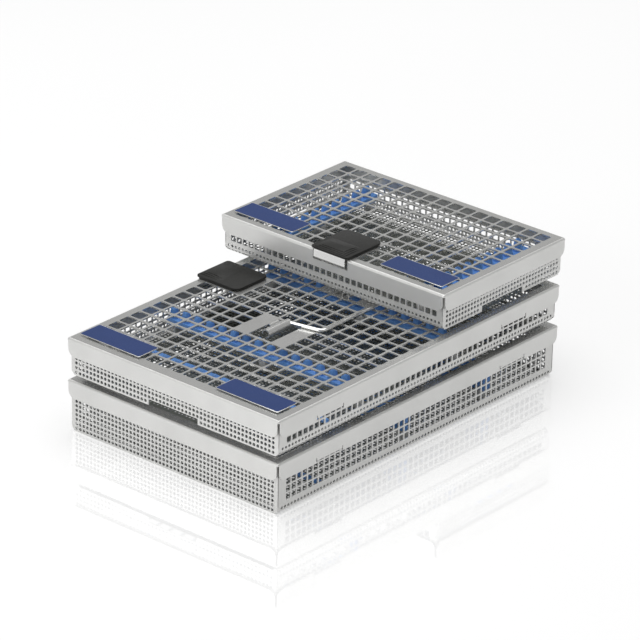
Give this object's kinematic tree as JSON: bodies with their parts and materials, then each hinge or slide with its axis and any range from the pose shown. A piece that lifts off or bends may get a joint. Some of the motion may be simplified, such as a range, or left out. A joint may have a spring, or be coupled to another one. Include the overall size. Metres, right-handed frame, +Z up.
{
  "type": "sterilization container set",
  "caption": "Stack of perforated steel instrument trays with lift-off lids, slide latches, folding wire handles, label plates and silicone racks.",
  "frame": {"origin": "middle of the underside of the large bottom tray, on the surface it stands on", "axes": "+Z up; +X along the large trays' long side, towards the end that carries the small container; +Y towards the side with the large trays' latches"},
  "size_m": [0.2838, 0.1916, 0.0969],
  "materials": {
    "steel": "fine brushed",
    "polished_wire": "polished",
    "black_plastic": "satin",
    "blue_plate": "anodised, bright edge",
    "silicone": "satin silicone"
  },
  "bodies": {
    "bottom_tray": {"bottom_tray": "steel", "bottom_rack_left": "silicone", "bottom_rack_middle": "silicone", "bottom_rack_right": "silicone"},
    "bottom_lid": {"bottom_lid": "steel", "bottom_label_left": "blue_plate", "bottom_label_right": "blue_plate"},
    "bottom_latch": {"bottom_latch_slider": "black_plastic", "bottom_latch_hook": "steel", "bottom_latch_rivets": "steel"},
    "bottom_handle": {"bottom_handle": "polished_wire"},
    "middle_tray": {"middle_tray": "steel", "middle_rack_left": "silicone", "middle_rack_middle": "silicone", "middle_rack_right": "silicone"},
    "middle_lid": {"middle_lid": "steel", "middle_label_left": "blue_plate", "middle_label_right": "blue_plate"},
    "middle_latch": {"middle_latch_slider": "black_plastic", "middle_latch_hook": "steel", "middle_latch_rivets": "steel"},
    "middle_handle": {"middle_handle": "polished_wire"},
    "top_tray": {"top_tray": "steel", "top_rack_left": "silicone", "top_rack_right": "silicone"},
    "top_lid": {"top_lid": "steel", "top_label_left": "blue_plate", "top_label_right": "blue_plate"},
    "top_latch": {"top_latch_slider": "black_plastic", "top_latch_hook": "steel", "top_latch_rivets": "steel"}
  },
  "joints": [
    {"name": "bottom_lid_lift", "type": "slide", "parent": "bottom_tray", "child": "bottom_lid", "axis": [0, 0, 1], "range_m": [0, 0.06]},
    {"name": "middle_container_lift", "type": "slide", "parent": "bottom_lid", "child": "middle_tray", "axis": [0, 0, 1], "range_m": [0, 0.08]},
    {"name": "middle_lid_lift", "type": "slide", "parent": "middle_tray", "child": "middle_lid", "axis": [0, 0, 1], "range_m": [0, 0.06]},
    {"name": "top_container_lift", "type": "slide", "parent": "middle_lid", "child": "top_tray", "axis": [0, 0, 1], "range_m": [0, 0.08]},
    {"name": "top_lid_lift", "type": "slide", "parent": "top_tray", "child": "top_lid", "axis": [0, 0, 1], "range_m": [0, 0.06]},
    {"name": "bottom_latch_slide", "type": "slide", "parent": "bottom_lid", "child": "bottom_latch", "axis": [0, -1, 0], "range_m": [0, 0.002]},
    {"name": "middle_latch_slide", "type": "slide", "parent": "middle_lid", "child": "middle_latch", "axis": [0, -1, 0], "range_m": [0, 0.002]},
    {"name": "top_latch_slide", "type": "slide", "parent": "top_lid", "child": "top_latch", "axis": [1, 0, 0], "range_m": [0, 0.002]},
    {"name": "bottom_handle_fold", "type": "hinge", "parent": "bottom_lid", "child": "bottom_handle", "pos_m": [0, 0, 0.03675], "axis": [-1, 0, 0], "range_deg": [0, 90]},
    {"name": "middle_handle_fold", "type": "hinge", "parent": "middle_lid", "child": "middle_handle", "pos_m": [0, 0, 0.06575], "axis": [-1, 0, 0], "range_deg": [0, 90]}
  ],
  "couplings": [
    {"joint": "bottom_handle_fold", "follows": "middle_container_lift", "rad_per_m": 19.635},
    {"joint": "middle_handle_fold", "follows": "top_container_lift", "rad_per_m": 19.635}
  ]
}
